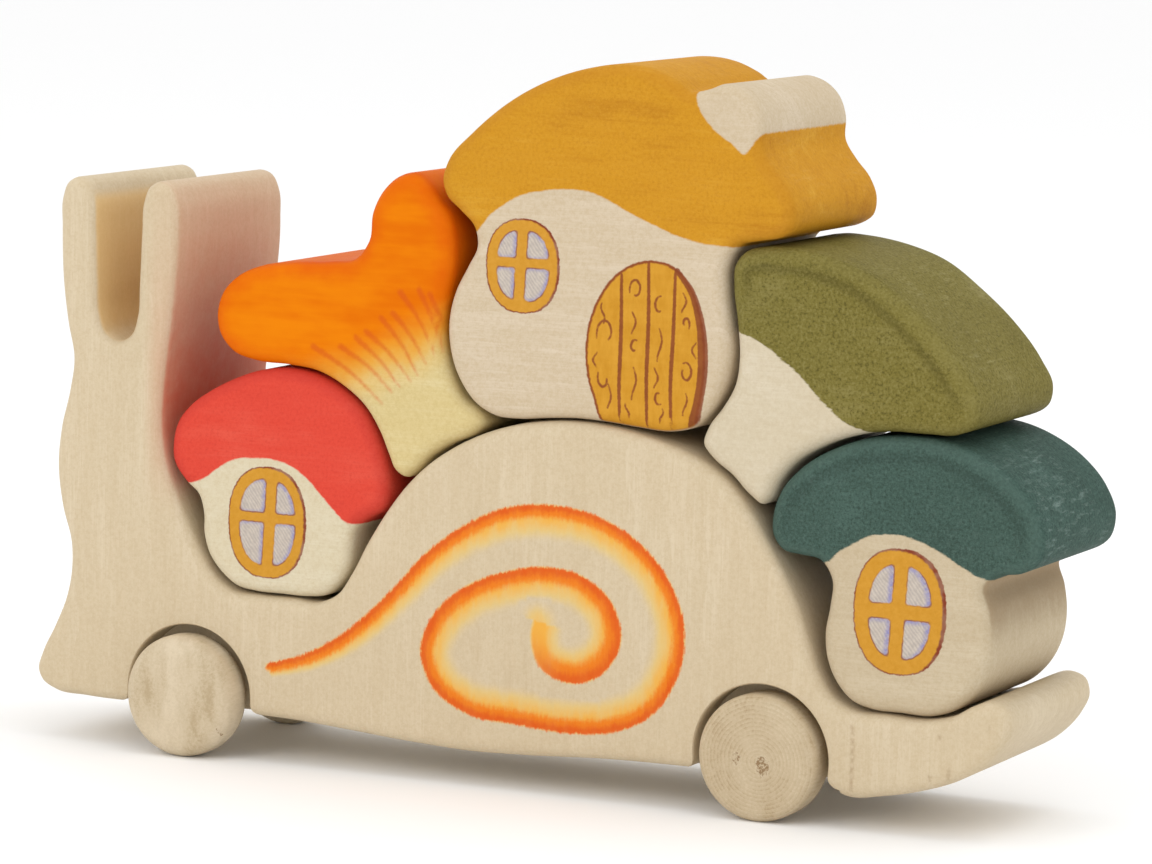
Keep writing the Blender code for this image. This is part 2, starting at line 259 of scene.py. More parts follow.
DOOR_EDGE = (
    (129.4, 127.2), (133.2, 122.4), (135.4, 116.4), (136.4, 109.4), (136.4, 102.4),
    (135.2, 95.4), (133.4, 89.4),
)
PLANKS = (
    ((115.2, 125.4), (115.4, 112), (115.2, 98), (115.6, 90)),
    ((122.1, 128.4), (122.4, 115), (122.2, 101), (122.6, 88.8)),
    ((129, 126.6), (128.8, 112), (128.4, 100), (128.8, 89.2)),
)
# Scrolls on the door: x, z, radius, first angle, sweep, growth
SCROLLS = (
    (111.4, 111.4, 3, -160, -250, 0.5), (111.2, 100.6, 2.2, 150, 210, 0.6),
    (118.9, 122.2, 2, 200, -300, 0.4), (118.9, 108.6, 1.5, 60, 220, 0.6),
    (125.2, 118.6, 1.9, 80, 200, 0.5), (125.4, 97.4, 1.6, -60, -220, 0.6),
    (132.3, 103.6, 1.9, 120, -320, 0.35), (131.9, 115, 1.4, -40, 250, 0.6),
)
# Wavering strokes: x, top and bottom
WAVES = (
    (110.6, 118.4, 113.6), (112.6, 99.4, 92.6), (118.6, 116.8, 111.6), (119, 103.8, 96.2),
    (117.4, 95.2, 91.4), (125.4, 113.4, 105.6), (124.6, 104.2, 99.4), (126.2, 94.6, 90.8),
    (131.4, 122, 117.4), (132.2, 98.6, 93), (108.8, 106.8, 103.2), (134.2, 110.6, 107),
)
# Small dents and lines on the tail
MARKS = (
    ((176.4, 25), (176.7, 18), (176.5, 9.5)), ((198, 24.4), (198.1, 23.6)),
    ((196, 15), (195.8, 14)), ((200.6, 17), (200.4, 14.8)), ((210, 27.9), (210.1, 27.1)),
    ((208, 24.3), (208.1, 23.7)),
)
# Lines are measured as if on the snail's face. A mushroom's face lies a little behind it, so
# its paint takes this shift.
FACE_SHIFT = np.array((-0.5, -0.2))


def curve_through(points, step, closed=False):
    """The smooth curve through the points, as an array of places about step apart."""
    spots = np.array(points, float)
    total = len(spots)
    curve = []
    for i in range(total if closed else total - 1):
        before = spots[i - 1] if closed or i else 2 * spots[0] - spots[1]
        start, end = spots[i], spots[(i + 1) % total]
        last = not closed and i + 2 >= total
        after = 2 * spots[-1] - spots[-2] if last else spots[(i + 2) % total]
        chord = np.linalg.norm(end - start)
        leaving = heading(before, start, end) * chord
        arriving = heading(start, end, after) * chord
        count = max(2, round(chord / step))
        t = (np.arange(count) / count)[:, None]
        curve.append(
            (2 * t**3 - 3 * t**2 + 1) * start
            + (t**3 - 2 * t**2 + t) * leaving
            + (3 * t**2 - 2 * t**3) * end
            + (t**3 - t**2) * arriving
        )
    if not closed:
        curve.append(spots[-1:])
    return np.concatenate(curve)


def heading(before, here, after):
    """The curve's unit direction at a point, weighted towards its nearer neighbour."""
    behind = np.linalg.norm(here - before)
    ahead = np.linalg.norm(after - here)
    return ((here - before) / behind * ahead + (after - here) / ahead * behind) / (behind + ahead)


def nearest(places, line):
    """Each place's distance from the line, its side (+1 right of travel) and its share along."""
    start, step = line[:-1], np.diff(line, axis=0)
    length = np.hypot(*step.T)
    run = np.concatenate([[0], np.cumsum(length)])
    found = []
    for part in np.array_split(places, len(places) * len(line) // MOST_PAIRS + 1):
        rel = part[:, None] - start[None]
        t = np.clip((rel * step).sum(-1) / length**2, 0, 1)
        gap = ((rel - t[..., None] * step) ** 2).sum(-1)
        k = gap.argmin(1)
        row = np.arange(len(part))
        turn = step[k, 0] * rel[row, k, 1] - step[k, 1] * rel[row, k, 0]
        share = (run[k] + t[row, k] * length[k]) / run[-1]
        found.append(np.stack([np.sqrt(gap[row, k]), np.where(turn < 0, 1.0, -1.0), share]))
    return np.concatenate(found, axis=1)


def inside(places, loop):
    """True for each place inside the closed loop."""
    odd = np.zeros(len(places), bool)
    x, z = places.T
    for (x0, z0), (x1, z1) in zip(loop, np.roll(loop, -1, axis=0)):
        if z0 != z1:
            odd ^= ((z0 > z) != (z1 > z)) & (x < (x1 - x0) * (z - z0) / (z1 - z0) + x0)
    return odd


def round_trip(loop):
    """The loop as a line that comes back to its first point."""
    return np.concatenate([loop, loop[:1]])


def depth_in(places, loop):
    """Distance from the loop, positive inside it."""
    return nearest(places, round_trip(loop))[0] * np.where(inside(places, loop), 1, -1)


def ripple(x, z, size, seed):
    """Smooth noise over the face, about -1 to 1."""
    return noise.noise(Vector((x / size, z / size, seed)))


def hexagonal(low, high, step):
    """Points of a triangular lattice over a box."""
    rows = np.arange(low[1], high[1], step * ROW_GAP)
    lines = []
    for k, z in enumerate(rows):
        x = np.arange(low[0] + (k % 2) * step / 2, high[0], step)
        lines.append(np.stack([x, np.full(len(x), z)], 1))
    return np.concatenate(lines)


def in_zone(places, zone):
    """True for each place in a zone's box that also passes its test, if it has one."""
    low, high, _, test = zone
    taken = ((places > low) & (places < high)).all(1)
    if test:
        taken[taken] = test(places[taken])
    return taken


def face_points(loop, rim, zones):
    """The places of one face's points: the loop, its rim rings and a lattice, finer in zones."""
    travel = np.roll(loop, -1, axis=0) - np.roll(loop, 1, axis=0)
    inward = np.stack([-travel[:, 1], travel[:, 0]], 1) / np.hypot(*travel.T)[:, None]
    layers = [loop]
    for turn in RIM_TURNS:
        inset = rim * (1 - math.cos(math.radians(turn)))
        ring = loop + inward * inset
        layers.append(ring[depth_in(ring, loop) > KEPT_INSET * inset])
    zones = [(loop.min(0), loop.max(0), FACE_STEP, None), *zones]
    for k, (low, high, step, test) in enumerate(zones):
        lattice = hexagonal(low, high, step)
        if test:
            lattice = lattice[test(lattice)]
        for finer in zones[k + 1 :]:
            lattice = lattice[~in_zone(lattice, finer)]
        layers.append(lattice[depth_in(lattice, loop) > rim + LATTICE_MARGIN * step])
    return layers


def slab(name, outline, half, rim, zones, seed):
    """A sawn and sanded piece of plank. Its rims are rounded and its faces very slightly uneven."""
    loop = curve_through(outline, OUTLINE_STEP, closed=True)
    x, z = loop.T
    if (x * np.roll(z, -1) - np.roll(x, -1) * z).sum() < 0:
        loop = loop[::-1].copy()
    places = np.concatenate(face_points(loop, rim, zones))
    total = len(loop)
    made = delaunay_2d_cdt([Vector(p) for p in places], [], [list(range(total))], 1, 1e-6)
    flat = np.array([tuple(v) for v in made[0]])
    triangles = made[2]
    ring = [0] * total
    for index, sources in enumerate(made[3]):
        for source in sources:
            if source < total:
                ring[source] = index
    depth = nearest(flat, round_trip(loop))[0]
    depth[ring] = 0
    soft = np.array([rim * (1 + RIM_CHANGE * ripple(px, pz, RIM_WAVE, seed)) for px, pz in flat])
    reach = np.clip(soft - depth, 0, None)
    drop = soft - np.sqrt(np.clip(soft**2 - reach**2, 0, None))
    sink = np.array([FACE_SINK * (1 + ripple(px, pz, FACE_WAVE, seed + 7)) for px, pz in flat])
    level = half - drop - sink * np.clip(depth / rim, 0, 1)
    count = len(flat)
    verts = [(px, side * y, pz) for side in (-1, 1) for (px, pz), y in zip(flat, level)]
    faces = [tuple(t) for t in triangles]
    faces += [tuple(count + i for i in reversed(t)) for t in triangles]
    rows = [ring]
    for row in range(1, WALL_ROWS):
        rows.append(list(range(len(verts), len(verts) + total)))
        verts += [(flat[i][0], level[i] * (2 * (row / WALL_ROWS) - 1), flat[i][1]) for i in ring]
    rows.append([count + i for i in ring])
    for low, high in zip(rows, rows[1:]):
        for i in range(total):
            k = (i + 1) % total
            faces.append((low[i], high[i], high[k], low[k]))
    return finish_piece(name, verts, faces)


def linked(name, data):
    """A new object in the scene, holding the data."""
    thing = bpy.data.objects.new(name, data)
    bpy.context.scene.collection.objects.link(thing)
    return thing


def finish_piece(name, verts, faces, shift=0.0):
    """Turns points in outline millimetres into a smooth-shaded object in metres."""
    mesh = bpy.data.meshes.new(name)
    spots = [((x - CENTRE_FROM_FRONT_AXLE) * MM, (y + shift) * MM, z * MM) for x, y, z in verts]
    mesh.from_pydata(spots, [], faces)
    mesh.validate()
    shade(mesh)
    return linked(name, mesh)


def shade(mesh):
    mesh.shade_smooth()
    mesh.set_sharp_from_angle(angle=SHARP_ANGLE)


def walls_between(rings):
    """Faces from each ring of points to the next. A ring at a pole is one point, repeated."""
    faces = []
    for low, high in zip(rings, rings[1:]):
        for i in range(len(low)):
            k = (i + 1) % len(low)
            corners = [low[i], low[k], high[k], high[i]]
            faces.append(tuple(c for n, c in enumerate(corners) if corners.index(c) == n))
    return faces


def turned(name, profile, x, shift, sides):
    """A round piece turned about the axle at x, along Y, from (radius, y) points."""
    verts, rings = [], []
    for radius, y in profile:
        if radius == 0:
            rings.append([len(verts)] * sides)
            verts.append((x, y, WHEEL_RADIUS))
            continue
        rings.append(list(range(len(verts), len(verts) + sides)))
        for k in range(sides):
            turn = 2 * math.pi * k / sides
            verts.append((x + radius * math.cos(turn), y, WHEEL_RADIUS + radius * math.sin(turn)))
    return closed_outward(finish_piece(name, verts, walls_between(rings), shift))


def extruded_cutter(name, loop, y0, y1, flare):
    """A closed prism over the loop from y0 inwards to y1, opening out by flare at its mouth y0."""
    travel = np.roll(loop, -1, axis=0) - np.roll(loop, 1, axis=0)
    outward = np.stack([travel[:, 1], -travel[:, 0]], 1) / np.hypot(*travel.T)[:, None]
    inward_sign = 1 if y1 > y0 else -1
    levels = [(y0 - 3 * inward_sign, flare), (y0, flare)]
    for turn in (30, 60, 90):
        a = math.radians(turn)
        levels.append((y0 + inward_sign * flare * (1 - math.cos(a)), flare * (1 - math.sin(a))))
    levels.append((y1, 0.0))
    verts, rings = [], []
    for y, grow in levels:
        rings.append(list(range(len(verts), len(verts) + len(loop))))
        verts += [(x, y, z) for x, z in loop + outward * grow]
    faces = [*walls_between(rings), tuple(reversed(rings[0])), tuple(rings[-1])]
    return closed_outward(finish_piece(name, verts, faces))


def closed_outward(thing):
    """Turns every face of a closed piece outwards."""
    bm = bmesh.new()
    bm.from_mesh(thing.data)
    bmesh.ops.recalc_face_normals(bm, faces=bm.faces)
    bm.to_mesh(thing.data)
    bm.free()
    shade(thing.data)
    return thing


def circle(angles):
    """Points of the unit circle, one for each angle."""
    return [np.array((math.cos(a), math.sin(a))) for a in angles]


def pocket_loop(x, left_under, right_under):
    """The wheel arch: a circle about the axle, rounded where it leaves the underside."""
    fillet = POCKET_FILLET
    corners = {}
    for sign, under in ((1, right_under), (-1, left_under)):
        up = under + fillet - WHEEL_RADIUS
        middle = np.array((sign * math.sqrt((POCKET_RADIUS + fillet) ** 2 - up**2), up))
        touch = math.atan2(-middle[1], -middle[0])
        if sign > 0 and touch > 0:
            touch -= 2 * math.pi
        arc = [middle + fillet * spot for spot in circle(np.linspace(-math.pi / 2, touch, 7))]
        below = np.array((middle[0], -WHEEL_RADIUS - 5.0))
        corners[sign] = [below, *arc], math.atan2(middle[1], middle[0]) % (2 * math.pi)
    right, first = corners[1]
    left, last = corners[-1]
    if first > math.pi:
        first -= 2 * math.pi
    over = [POCKET_RADIUS * spot for spot in circle(np.linspace(first, last, 60)[1:-1])]
    return np.array((x, WHEEL_RADIUS)) + np.array(right + over + left[::-1])


def cut_away(thing, cutters):
    """Takes the cutters away from a piece and removes them."""
    for cutter in cutters:
        modifier = thing.modifiers.new(cutter.name, "BOOLEAN")
        modifier.operation = "DIFFERENCE"
        modifier.solver = "EXACT"
        modifier.object = cutter
    graph = bpy.context.evaluated_depsgraph_get()
    mesh = bpy.data.meshes.new_from_object(thing.evaluated_get(graph))
    old = thing.data
    thing.modifiers.clear()
    thing.data = mesh
    bpy.data.meshes.remove(old)
    mesh.name = thing.name
    for cutter in cutters:
        bpy.data.objects.remove(cutter)
    shade(mesh)


def places_of(thing):
    """Each vertex's (x, z) and y, in outline millimetres."""
    co = np.empty(len(thing.data.vertices) * 3, np.float32)
    thing.data.vertices.foreach_get("co", co)
    co = co.reshape(-1, 3).astype(float) / MM
    return co[:, ::2] + (CENTRE_FROM_FRONT_AXLE, 0), co[:, 1]


def store(thing, **fields):
    """Keeps one number per vertex under each name, for the materials to read."""
    for name, values in fields.items():
        layer = thing.data.attributes.new(name, "FLOAT", "POINT")
        layer.data.foreach_set("value", np.asarray(values, np.float32))


# ---- fields that carry the painting


def between(low, high, values):
    """0 below low, 1 above high, smooth between."""
    t = np.clip((values - low) / (high - low), 0, 1)
    return t * t * (3 - 2 * t)


def rounded_least(a, b, radius=0.9):
    """The lesser of two distances, with a rounded corner where they meet."""
    h = np.clip(0.5 + 0.5 * (b - a) / radius, 0, 1)
    return b + (a - b) * h - radius * h * (1 - h)


def rim_fields(thing, outline, half):
    """How far each vertex is from the rims, and whether it lies on a face."""
    places, y = places_of(thing)
    loop = curve_through(outline, 2.0, closed=True)
    depth = nearest(places, round_trip(loop))[0]
    store(thing, rim=depth + half - np.abs(y), face=between(half - 2.4, half - 1.2, np.abs(y)))
    return places


def cap_field(places, edge):
    """Distance above the painted cap's lower edge, negative below it."""
    far, side, _ = nearest(places, curve_through(edge, 1.5) + FACE_SHIFT)
    return -far * side


def window_fields(places, window):
    """Depths in the oval frame and in its four panes, for their lines and for their shading."""
    centre, half, crossing, bar, shade_shift, ring = (np.array(row) for row in window)
    turn = np.linspace(0, 2 * math.pi, 72, endpoint=False)
    oval = np.stack([np.cos(turn), np.sin(turn)], 1)
    oval = centre + FACE_SHIFT + half * np.sign(oval) * np.abs(oval) ** OVAL_POWER
    fields = {}
    for label, shift in (("", 0.0), ("_lit", shade_shift)):
        frame_depth = depth_in(places + shift, oval)
        across = places + shift - (crossing + FACE_SHIFT)
        across[:, 0] -= BAR_LEAN * across[:, 1]
        quarter = rounded_least(*(np.abs(across) - bar).T)
        fields["frame" + label] = frame_depth
        fields["pane" + label] = rounded_least(frame_depth - ring, quarter, 1.2)
    return fields


def ink_field(places, strokes):
    """How deep each place lies in the nearest stroke: a line, and half widths along it."""
    ink = np.full(len(places), -np.inf)
    for line, widths in strokes:
        far, _, share = nearest(places, line)
        ink = np.maximum(ink, np.interp(share, (0, 0.5, 1), widths) - far)
    return ink


def scroll(x, z, radius, first, sweep, growth):
    """A small curl that winds in as it turns."""
    share = np.linspace(0, 1, 14)
    angle = np.radians(first + sweep * share)
    size = radius * (1 - growth * share)
    return np.stack([x + size * np.cos(angle) * 0.8, z + size * np.sin(angle) * 1.25], 1)


def wave(x, top, bottom):
    """A short wavering stroke downwards."""
    share = np.linspace(0, 1, 9)
    return np.stack([x + 0.55 * np.sin(share * 5.2 + x), top + (bottom - top) * share], 1)


def door_strokes():
    strokes = [(curve_through(line, 1.0), (0.34, 0.5, 0.34)) for line in PLANKS]
    strokes.append((curve_through(DOOR_EDGE, 1.0), (0.6, 1.3, 1.1)))
    strokes += [(scroll(*curl), (0.16, 0.3, 0.2)) for curl in SCROLLS]
    strokes += [(wave(*line), (0.14, 0.26, 0.14)) for line in WAVES]
    return [(line + FACE_SHIFT, width) for line, width in strokes]


# ---- colours

# The studio light shows a front face a little brighter than its paint
PAINT_PER_LIGHT = 0.81
# Share of a stain that hides the wood
COVER = 0.97


def srgb(*values):
    """The paint that looks like these 0 to 255 display values under the studio light."""
    share = [v / 255 for v in values]
    linear = [v / 12.92 if v <= 0.04045 else ((v + 0.055) / 1.055) ** 2.4 for v in share]
    return (*(v * PAINT_PER_LIGHT for v in linear), 1.0)


# Each wood is its light, middle and dark tone
LIGHT_WOOD = srgb(230, 213, 183)
MIDDLE_WOOD = srgb(220, 201, 168)
DARK_WOOD = srgb(198, 173, 136)
CHANTERELLE_WOOD = (srgb(234, 217, 166), srgb(225, 204, 146), srgb(200, 174, 110))
WALL_WOOD = (srgb(230, 213, 188), srgb(218, 199, 169), srgb(194, 168, 128))
RED_BASE_WOOD = (srgb(236, 226, 200), srgb(227, 214, 183), srgb(202, 178, 132))
GREEN_STEM_WOOD = (srgb(233, 221, 198), srgb(222, 208, 180), srgb(202, 182, 148))
TEAL_BASE_WOOD = (srgb(221, 205, 176), srgb(210, 192, 161), srgb(188, 164, 126))

# Stain on a cap: light, middle and dark tone; the speck's scale and contrast; the streaks' share;
# the rim's tone and share; the share of the dark line inside the rim; the wobble of the stain's
# edge; and the worn places' share and tone
STAINS = {
    "red": (
        ((238, 88, 70), (232, 70, 54), (208, 50, 42)), (1.2, 0.36), 0.5,
        ((204, 50, 46), 0.3), 0.0, 0.8, (0.1, (244, 160, 140)),
    ),
    "yellow": (
        ((228, 170, 52), (215, 151, 26), (184, 116, 8)), (1.2, 0.34), 0.95,
        ((196, 128, 30), 0.3), 0.0, 0.8, (0.12, (236, 200, 130)),
    ),
    "green": (
        ((146, 136, 78), (124, 114, 48), (90, 82, 28)), (1.4, 0.9), 0.3,
        ((142, 132, 72), 0.4), 0.62, 1.9, (0.35, (178, 170, 116)),
    ),
    "teal": (
        ((82, 112, 104), (62, 90, 82), (38, 62, 57)), (1.35, 0.75), 0.2,
        ((84, 112, 104), 0.45), 0.4, 1.2, (0.5, (142, 164, 156)),
    ),
}

# ---- materials


class Paint:
    """Builds one Principled material, node by node."""

    def __init__(self, name, roughness_range=(0.5, 0.62), specular=0.14):
        self.material = bpy.data.materials.new(name)
        self.material.use_nodes = True
        self.tree = self.material.node_tree
        self.shader = self.tree.nodes["Principled BSDF"]
        self.shader.inputs["Specular IOR Level"].default_value = specular
        self.roughness_range = roughness_range
        self.colour = None
        # The piece's own coordinates, in millimetres
        own = self.node("ShaderNodeTexCoord").outputs["Object"]
        self.place = self.vector("MULTIPLY", own, (1 / MM, 1 / MM, 1 / MM))

    def put(self, socket, value):
        if isinstance(value, bpy.types.NodeSocket):
            self.tree.links.new(value, socket)
        elif value is not None:
            socket.default_value = value

    def node(self, kind, *values, **named):
        """A new node with these values in its first sockets, and in those named."""
        node = self.tree.nodes.new(kind)
        for socket, value in zip(node.inputs, values):
            self.put(socket, value)
        for name, value in named.items():
            self.put(node.inputs[name.replace("_", " ")], value)
        return node

    def vector(self, operation, a, b=None, output="Vector"):
        node = self.node("ShaderNodeVectorMath", a, b)
        node.operation = operation
        return node.outputs[output]

    def math(self, operation, a, b=None):
        node = self.node("ShaderNodeMath", a, b)
        node.operation = operation
        return node.outputs[0]

    def add(self, *terms):
        return reduce(lambda a, b: self.math("ADD", a, b), terms)

    def times(self, *terms):
        return reduce(lambda a, b: self.math("MULTIPLY", a, b), terms)

    def mix(self, share, a, b):
        node = self.node("ShaderNodeMix", share)
        node.data_type = "RGBA"
        self.put(node.inputs[6], a)
        self.put(node.inputs[7], b)
        return node.outputs[2]

    def over(self, paint, *shares):
        """Covers the colour with paint, by all the shares multiplied."""
        self.colour = self.mix(self.times(*shares), self.colour, paint)

    def ramp(self, value, low, high, start=0.0, end=1.0):
        """start below low, end above high, smooth between."""
        node = self.node("ShaderNodeMapRange", value, low, high, start, end)
        node.interpolation_type = "SMOOTHSTEP"
        return node.outputs[0]

    def noise(self, scale, detail, roughness, where=None):
        """Noise from 0 to 1, with scale bumps a millimetre or so."""
        where = self.place if where is None else where
        named = {"Scale": scale, "Detail": detail, "Roughness": roughness}
        return self.node("ShaderNodeTexNoise", where, **named).outputs[0]

    def wobble(self, size, *noise):
        """Noise about 0, half of size either way."""
        return self.times(self.math("SUBTRACT", self.noise(*noise), 0.5), size)

    def rings(self, where, axis, gap, distortion, detail_scale=0.6):
        """Growth rings about the axis, gap millimetres apart."""
        named = {"Scale": 2 * math.pi / (20 * gap), "Distortion": distortion, "Detail": 2.0}
        node = self.node("ShaderNodeTexWave", where, Detail_Scale=detail_scale, **named)
        node.wave_type = "RINGS"
        node.rings_direction = axis
        node.wave_profile = "SAW"
        return node.outputs["Fac"]

    def field(self, name):
        """The number kept on the mesh under this name."""
        node = self.node("ShaderNodeAttribute")
        node.attribute_name = name
        return node.outputs["Fac"]

    def stretched(self, along, amount, shift=(0.0, 0.0, 0.0)):
        """The place, drawn out along the grain."""
        factors = {"X": (1 / amount, 1, 1), "Z": (1, 1, 1 / amount), "Y": (1, 1 / amount, 1)}[along]
        return self.vector("MULTIPLY", self.vector("ADD", self.place, shift), factors)

    def finish(self, height, rough, strength=0.25):
        self.put(self.shader.inputs["Base Color"], self.colour)
        self.put(self.shader.inputs["Roughness"], self.ramp(rough, 0.2, 0.8, *self.roughness_range))
        depth = BUMP_DEPTH * MM
        bump = self.node("ShaderNodeBump", Strength=strength, Distance=depth, Height=height)
        self.put(self.shader.inputs["Normal"], bump.outputs[0])
        return self.material


def plain_wood(p, along, pith, seed, tints=(LIGHT_WOOD, MIDDLE_WOOD, DARK_WOOD)):
    """Pale close-grained wood with its grain along one axis. Returns its height and its noise."""
    shift = (seed * 17.0, seed * 5.0, seed * 11.0)
    fine = p.noise(2.4, 3, 0.65, p.stretched(along, 22, shift))
    streak = p.noise(0.45, 3, 0.55, p.stretched(along, 14, shift))
    broad = p.noise(0.05, 2, 0.5, p.stretched(along, 3, shift))
    speck = p.noise(1.1, 3, 0.8)
    ring = p.rings(p.vector("SUBTRACT", p.place, pith), along, RING_GAP, 3.4)
    tone = p.add(p.times(fine, 0.6), p.times(streak, 0.5), p.times(broad, 0.6), p.times(ring, 0.12))
    p.colour = p.mix(p.ramp(tone, 0.56, 0.98), tints[0], tints[1])
    p.over(tints[2], p.ramp(tone, 0.95, 1.45, 0, 0.5))
    pore = p.noise(3.6, 1, 0.5, p.stretched(along, 30, shift))
    p.over(tints[2], p.ramp(pore, 0.66, 0.8, 0, 0.2))
    p.over(tints[2], p.ramp(speck, 0.46, 0.66, 0, 0.24))
    p.over(tints[0], p.ramp(speck, 0.5, 0.34, 0, 0.3))
    height = p.add(p.times(fine, 0.6), p.times(speck, 0.35), p.times(ring, 0.08))
    return height, fine, streak


def paler_rim_line(p, amount):
    """A paler line along the rims, on their rounding, broken up by the grain."""
    rim = p.add(p.field("rim"), p.times(p.noise(0.5, 3, 0.6), 1.6))
    p.over(LIGHT_WOOD, p.ramp(rim, 2.6, 1.3), p.ramp(rim, 0.2, 1.3), amount)


def snail_material():
    p = Paint("snail_oiled_wood", (0.46, 0.6))
    height, fine, streak = plain_wood(p, "Z", (-40.0, 130.0, 0.0), 1)
    face = p.field("face")
    ragged = p.wobble(1.3, 1, 3, 0.8)
    thread = p.wobble(1.3, 1.5, 2, 0.6, p.stretched("Z", 6))
    across = p.add(p.field("stroke"), ragged, thread)
    share = p.math("DIVIDE", across, p.math("MULTIPLY", p.field("stroke_width"), 2.0))
    clouds = p.math("SUBTRACT", p.noise(0.4, 4, 0.65, p.stretched("Z", 3)), 0.5)
    glow = p.times(p.add(p.field("glow"), p.times(clouds, p.field("glow"), 1.1)), face)
    p.over(srgb(240, 204, 118), p.ramp(glow, 0, 0.55), 0.74)
    p.over(srgb(248, 180, 66), p.ramp(glow, 0.35, 1.1), 0.92)
    near = p.times(p.ramp(across, -0.3, 0.5), p.ramp(share, 1.5, 0.85))
    cover = p.times(near, p.field("stroke_near"), face)
    deep = p.times(p.noise(0.5, 3, 0.6, p.stretched("Z", 2)), 0.6)
    orange = p.mix(p.ramp(p.add(share, deep), 0.6, 1.2), srgb(232, 92, 14), srgb(245, 128, 20))
    p.over(orange, cover, p.ramp(streak, 0.1, 0.9, 1, 0.86))
    marks = p.add(p.field("ink"), p.times(p.noise(1.5, 2, 0.6), 0.8))
    p.over(srgb(150, 112, 74), p.ramp(marks, -0.1, 0.8), 0.38)
    # Painted reddish bounce light and shade from the red cap on the right horn's side, stronger off
    # the front face
    painted_bounce_mask = p.times(p.field("rosy"), p.ramp(face, 0, 1, 1, 0.35))
    painted_bounce_mask = p.times(painted_bounce_mask, p.ramp(p.noise(0.25, 3, 0.6), 0.2, 0.8, 0.75, 1))
    p.over(srgb(214, 108, 78), painted_bounce_mask)
    # Painted warm light on the walls and floor of the slot between the horns
    p.over(srgb(250, 200, 112), p.field("slot"), p.ramp(face, 0.9, 0.1), 0.5)
    paler_rim_line(p, 0.3)
    return p.finish(height, fine, 0.22)


def window_paint(p):
    """The ochre frame, its brown outline and the four hatched grey-lilac panes."""
    face = p.field("face")
    wobble = p.wobble(0.7, 0.9, 2, 0.6)
    frame_depth = p.add(p.field("frame"), wobble)
    pane = p.add(p.field("pane"), p.times(wobble, 0.6))
    thick = p.add(p.field("frame_lit"), wobble)
    worn = p.ramp(p.noise(0.3, 2, 0.5), 0.35, 0.6, 0.8, 1)
    outline = p.times(p.ramp(frame_depth, -0.35, -0.05), face, worn)
    p.over(srgb(140, 66, 46), outline)
    ochre = p.mix(p.noise(0.8, 4, 0.65), srgb(230, 170, 70), srgb(204, 142, 38))
    body = p.times(p.ramp(frame_depth, -0.1, 0.3), p.ramp(thick, -0.2, 0.35), face)
    p.over(ochre, body)
    patchy = p.ramp(p.noise(0.25, 2, 0.5), 0.35, 0.6, 0.1, 0.85)
    rim = p.times(p.ramp(pane, -0.4, -0.08), p.ramp(pane, 0.3, -0.02), body, patchy)
    p.over(srgb(132, 82, 84), rim)
    axes = p.node("ShaderNodeSeparateXYZ", p.place).outputs
    diagonal = p.add(axes[0], p.times(axes[2], 0.8), p.times(p.noise(0.3, 2, 0.5), 1.6))
    strokes = p.times(p.math("SINE", p.times(diagonal, 6.4)), p.noise(0.8, 2, 0.5))
    hatch = p.add(p.noise(0.7, 4, 0.7), p.times(strokes, 0.26))
    glass = p.mix(p.ramp(hatch, 0.2, 0.85), srgb(190, 179, 170), srgb(219, 207, 193))
    broken = p.ramp(p.noise(1.1, 3, 0.7), 0.3, 0.7, 0.3, 1)
    blue = p.times(p.ramp(p.field("pane_lit"), 1, -0.3), broken, 0.85)
    glass = p.mix(blue, glass, srgb(140, 138, 198))
    p.over(glass, p.ramp(pane, -0.12, 0.22), face)


def stained(p, key, fine, streak, seed):
    """Stains the cap, with the grain and the sanding showing. Returns the height of its specks."""
    bare = p.colour
    tones, (size, contrast), streaky, rim_stain, inner_line, wobble, (share, chalk) = STAINS[key]
    light, middle, dark = (srgb(*tone) for tone in tones)
    blotch = p.noise(0.06, 3, 0.6, p.stretched("X", 2, (seed, 0, 0)))
    speck = p.noise(size, 4, 0.8)
    tone = p.add(blotch, p.times(streak, streaky * 0.6), p.times(fine, 0.25))
    level = 0.62 + 0.3 * streaky
    p.colour = p.mix(p.ramp(tone, level - 0.34, level - 0.02), light, middle)
    p.over(dark, p.ramp(tone, level, level + 0.42, 0, 0.7))
    p.over(dark, p.ramp(speck, 0.5, 0.64, 0, contrast))
    p.over(light, p.ramp(speck, 0.5, 0.36, 0, contrast * 0.8))
    rim_tone, amount = rim_stain
    rim = p.add(p.field("rim"), p.times(p.noise(0.35, 3, 0.6), 1.4))
    p.over(srgb(*rim_tone), p.ramp(rim, 4.4, 2.6), p.ramp(rim, 0.6, 2.2), amount)
    if inner_line:
        line = p.times(p.ramp(rim, 3.8, 5), p.ramp(rim, 7.6, 5.6), p.field("face"))
        line = p.times(line, p.ramp(p.field("cap"), 5, 15), inner_line)
        p.over(dark, line, p.ramp(speck, 0.3, 0.6, 0.55, 1))
    scratch = p.noise(0.7, 4, 0.75, p.stretched("Y", 5, (seed * 3.0, 0, 0)))
    patch = p.noise(0.045, 2, 0.5)
    edge_on = p.ramp(p.field("face"), 0, 1, 1, 0.16)
    p.over(srgb(*chalk), p.ramp(scratch, 0.5, 0.72), p.ramp(patch, 0.4, 0.62), edge_on, share)
    # The cap's edge follows the fibres
    edge = p.wobble(wobble, 0.85, 4, 0.7, p.stretched("X", 2.5))
    cover = p.ramp(p.add(p.field("cap"), edge), -0.32, 0.22)
    p.colour = p.mix(p.times(cover, COVER), bare, p.colour)
    return p.times(p.noise(size, 2, 0.7), contrast * 2.0)


